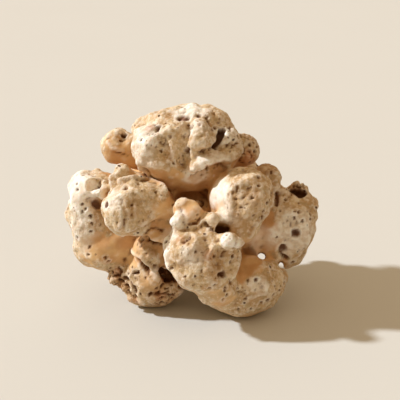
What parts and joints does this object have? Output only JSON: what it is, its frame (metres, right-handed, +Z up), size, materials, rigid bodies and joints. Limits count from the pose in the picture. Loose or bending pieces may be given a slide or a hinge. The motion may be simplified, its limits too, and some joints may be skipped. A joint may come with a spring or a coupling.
{
  "type": "tiger milk mushroom",
  "caption": "Knobbly tuber of a wild tiger milk mushroom: pear-shaped lobes grown out of one core, resting on its lowest lobes.",
  "frame": {"origin": "middle of the bounding box seen from above, on the surface that the mushroom rests on", "axes": "+Z up, +X along the longest extent, to the right as seen from the front, and -Y towards the front"},
  "size_m": [0.1, 0.0774, 0.0796],
  "materials": {
    "flesh": "matte, rough and porous on the outer ends of the lobes, smoother and waxy underneath"
  },
  "bodies": {
    "root": {"mushroom": "flesh"}
  },
  "joints": []
}
